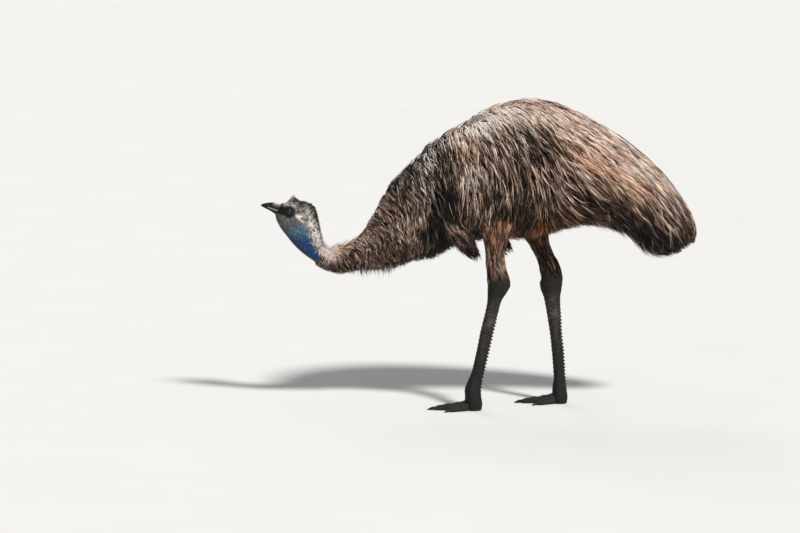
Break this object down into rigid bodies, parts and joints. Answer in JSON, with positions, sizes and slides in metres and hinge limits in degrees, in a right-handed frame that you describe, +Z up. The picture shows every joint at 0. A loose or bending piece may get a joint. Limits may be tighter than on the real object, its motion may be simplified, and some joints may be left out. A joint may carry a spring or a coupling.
{
  "type": "emu figure",
  "caption": "Life-size standing model of a large flightless bird wading with its neck stretched low ahead, with a shaggy feathered body, bare throat and scaly legs.",
  "frame": {"origin": "the floor point under the middle of the whole bird's box", "axes": "+Z up, the bill points to -X and the tail to +X, the bird's left side is -Y"},
  "size_m": [1.525, 0.4446, 1.0765],
  "materials": {
    "plumage": "loose shaggy feathers, grey-brown with pale and dark streaks",
    "leg_plumage": "short hairy feathers, dull brown",
    "head_feathers": "fine pale bristle over grey skin, dark round the eye",
    "throat_skin": "bare blue skin under thin pale bristle",
    "leg_scales": "dark grey horny scales",
    "bill_horn": "dark horn, satin",
    "claw_horn": "dark horn, satin",
    "eye": "wet dark red-brown"
  },
  "bodies": {
    "root": {"head": "head_feathers", "bill_upper": "bill_horn", "bill_lower": "bill_horn", "eye_left": "eye", "eye_right": "eye", "neck_upper": "throat_skin", "neck_middle": "plumage", "neck_base": "plumage", "torso_front": "plumage", "torso_rear": "plumage", "tail": "plumage", "wing_left": "plumage", "wing_right": "plumage", "shank_left": "leg_plumage", "tarsus_left": "leg_scales", "toe_left_inner": "leg_scales", "claw_left_inner": "claw_horn", "toe_left_middle": "leg_scales", "claw_left_middle": "claw_horn", "toe_left_outer": "leg_scales", "claw_left_outer": "claw_horn", "shank_right": "leg_plumage", "tarsus_right": "leg_scales", "toe_right_inner": "leg_scales", "claw_right_inner": "claw_horn", "toe_right_middle": "leg_scales", "claw_right_middle": "claw_horn", "toe_right_outer": "leg_scales", "claw_right_outer": "claw_horn"}
  },
  "joints": []
}
